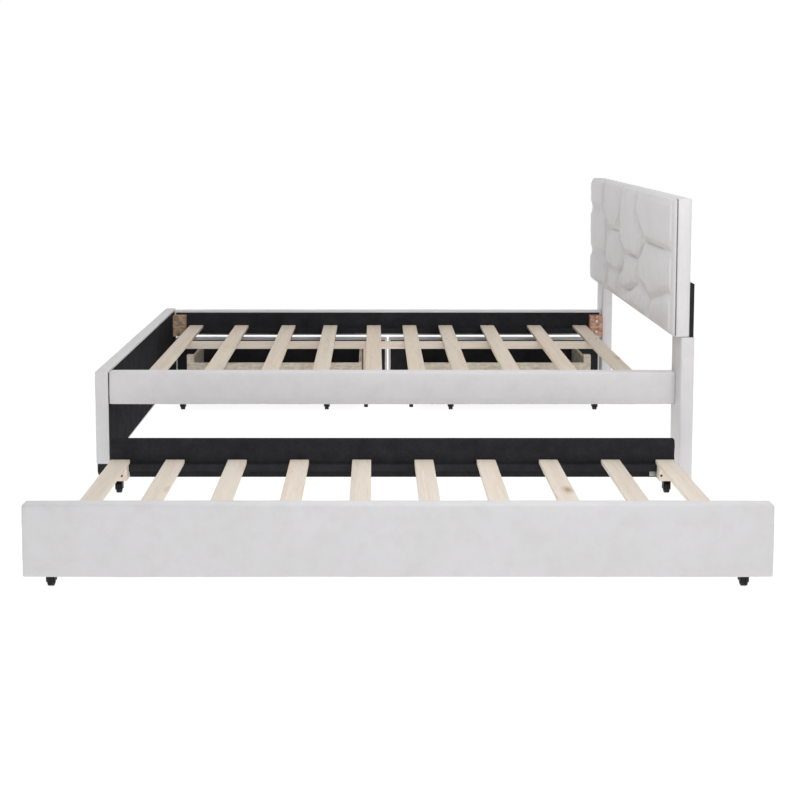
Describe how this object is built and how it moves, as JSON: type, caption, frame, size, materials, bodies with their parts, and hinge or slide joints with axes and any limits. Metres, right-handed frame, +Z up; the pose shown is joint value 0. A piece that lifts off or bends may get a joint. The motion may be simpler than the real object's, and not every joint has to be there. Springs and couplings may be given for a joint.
{
  "type": "trundle bed",
  "caption": "Upholstered platform bed with a tufted headboard, slatted deck, roll-out slatted trundle on one side and storage drawers on the other.",
  "frame": {"origin": "on the floor, in the middle of the footprint with the trundle pulled out and the drawers shut", "axes": "+X along the bed from footboard to headboard, +Y across the bed from the trundle side to the drawer side, +Z up"},
  "size_m": [2.146, 2.937, 1.012],
  "materials": {
    "upholstery": "smooth faux leather, satin",
    "black_cloth": "non-woven, matte",
    "panel_board": "raw board",
    "slat_wood": "planed, unfinished",
    "raw_plywood": "raw plywood",
    "black_board": "covered in black cloth, matte",
    "black_plastic": "moulded, matte",
    "bolt_steel": "zinc plated",
    "caster_metal": "black painted steel",
    "wheel_tread": "moulded, dull"
  },
  "bodies": {
    "bed_frame": {"footboard_board": "panel_board", "footboard_cover": "upholstery", "footboard_lining": "black_cloth", "footboard_feet": "black_plastic", "near_rail_board": "panel_board", "near_rail_cover": "upholstery", "near_rail_lining": "black_cloth", "far_rail_board": "panel_board", "far_rail_cover": "upholstery", "far_rail_lining": "black_cloth", "slat_ledgers": "black_board", "corner_blocks": "raw_plywood", "main_slats": "slat_wood", "slat_screws": "bolt_steel", "support_beam": "slat_wood", "support_legs": "slat_wood", "support_feet": "black_plastic", "headboard_board": "panel_board", "headboard_cover": "upholstery", "headboard_cushion": "upholstery", "headboard_back_cloth": "black_cloth", "leg_boards": "panel_board", "leg_covers": "upholstery", "leg_stiffeners": "black_board", "leg_glides": "black_plastic", "frame_bolts": "bolt_steel"},
    "trundle": {"trundle_front_board": "panel_board", "trundle_front_cover": "upholstery", "trundle_front_lining": "black_cloth", "trundle_rear_board": "panel_board", "trundle_rear_cloth": "black_cloth", "trundle_ledgers": "black_board", "trundle_caster_blocks": "slat_wood", "trundle_bracket": "bolt_steel", "trundle_caster_forks": "caster_metal", "trundle_slats": "slat_wood"},
    "left_drawer": {"left_drawer_front_board": "panel_board", "left_drawer_front_cover": "upholstery", "left_drawer_front_lining": "black_cloth", "left_drawer_bottom": "black_board", "left_drawer_box_boards": "raw_plywood", "left_drawer_caster_forks": "caster_metal"},
    "right_drawer": {"right_drawer_front_board": "panel_board", "right_drawer_front_cover": "upholstery", "right_drawer_front_lining": "black_cloth", "right_drawer_bottom": "black_board", "right_drawer_box_boards": "raw_plywood", "right_drawer_caster_forks": "caster_metal"},
    "trundle_wheel_front_foot": {"trundle_wheel_front_foot": "wheel_tread"},
    "trundle_wheel_rear_foot": {"trundle_wheel_rear_foot": "wheel_tread"},
    "trundle_wheel_front_head": {"trundle_wheel_front_head": "wheel_tread"},
    "trundle_wheel_rear_head": {"trundle_wheel_rear_head": "wheel_tread"},
    "left_drawer_wheel_rear_inner": {"left_drawer_wheel_rear_inner": "wheel_tread"},
    "left_drawer_wheel_rear_outer": {"left_drawer_wheel_rear_outer": "wheel_tread"},
    "left_drawer_wheel_front_inner": {"left_drawer_wheel_front_inner": "wheel_tread"},
    "left_drawer_wheel_front_outer": {"left_drawer_wheel_front_outer": "wheel_tread"},
    "right_drawer_wheel_rear_inner": {"right_drawer_wheel_rear_inner": "wheel_tread"},
    "right_drawer_wheel_rear_outer": {"right_drawer_wheel_rear_outer": "wheel_tread"},
    "right_drawer_wheel_front_inner": {"right_drawer_wheel_front_inner": "wheel_tread"},
    "right_drawer_wheel_front_outer": {"right_drawer_wheel_front_outer": "wheel_tread"}
  },
  "joints": [
    {"name": "trundle_roll_out", "type": "slide", "parent": "bed_frame", "child": "trundle", "axis": [0, -1, 0], "range_m": [-1.226, 0]},
    {"name": "left_drawer_slide", "type": "slide", "parent": "bed_frame", "child": "left_drawer", "axis": [0, 1, 0], "range_m": [0, 0.42]},
    {"name": "right_drawer_slide", "type": "slide", "parent": "bed_frame", "child": "right_drawer", "axis": [0, 1, 0], "range_m": [0, 0.42]},
    {"name": "trundle_wheel_front_foot_spin", "type": "hinge", "parent": "trundle", "child": "trundle_wheel_front_foot", "pos_m": [-0.958, -1.4005, 0.02], "axis": [1, 0, 0], "continuous": true},
    {"name": "trundle_wheel_rear_foot_spin", "type": "hinge", "parent": "trundle", "child": "trundle_wheel_rear_foot", "pos_m": [-0.948, -0.4675, 0.02], "axis": [1, 0, 0], "continuous": true},
    {"name": "trundle_wheel_front_head_spin", "type": "hinge", "parent": "trundle", "child": "trundle_wheel_front_head", "pos_m": [0.958, -1.4005, 0.02], "axis": [1, 0, 0], "continuous": true},
    {"name": "trundle_wheel_rear_head_spin", "type": "hinge", "parent": "trundle", "child": "trundle_wheel_rear_head", "pos_m": [0.948, -0.4675, 0.02], "axis": [1, 0, 0], "continuous": true},
    {"name": "left_drawer_wheel_rear_inner_spin", "type": "hinge", "parent": "left_drawer", "child": "left_drawer_wheel_rear_inner", "pos_m": [-0.277, 0.8795, 0.02], "axis": [1, 0, 0], "continuous": true},
    {"name": "left_drawer_wheel_rear_outer_spin", "type": "hinge", "parent": "left_drawer", "child": "left_drawer_wheel_rear_outer", "pos_m": [-0.92, 0.8795, 0.02], "axis": [1, 0, 0], "continuous": true},
    {"name": "left_drawer_wheel_front_inner_spin", "type": "hinge", "parent": "left_drawer", "child": "left_drawer_wheel_front_inner", "pos_m": [-0.277, 1.3205, 0.02], "axis": [1, 0, 0], "continuous": true},
    {"name": "left_drawer_wheel_front_outer_spin", "type": "hinge", "parent": "left_drawer", "child": "left_drawer_wheel_front_outer", "pos_m": [-0.92, 1.3205, 0.02], "axis": [1, 0, 0], "continuous": true},
    {"name": "right_drawer_wheel_rear_inner_spin", "type": "hinge", "parent": "right_drawer", "child": "right_drawer_wheel_rear_inner", "pos_m": [0.277, 0.8795, 0.02], "axis": [1, 0, 0], "continuous": true},
    {"name": "right_drawer_wheel_rear_outer_spin", "type": "hinge", "parent": "right_drawer", "child": "right_drawer_wheel_rear_outer", "pos_m": [0.92, 0.8795, 0.02], "axis": [1, 0, 0], "continuous": true},
    {"name": "right_drawer_wheel_front_inner_spin", "type": "hinge", "parent": "right_drawer", "child": "right_drawer_wheel_front_inner", "pos_m": [0.277, 1.3205, 0.02], "axis": [1, 0, 0], "continuous": true},
    {"name": "right_drawer_wheel_front_outer_spin", "type": "hinge", "parent": "right_drawer", "child": "right_drawer_wheel_front_outer", "pos_m": [0.92, 1.3205, 0.02], "axis": [1, 0, 0], "continuous": true}
  ]
}
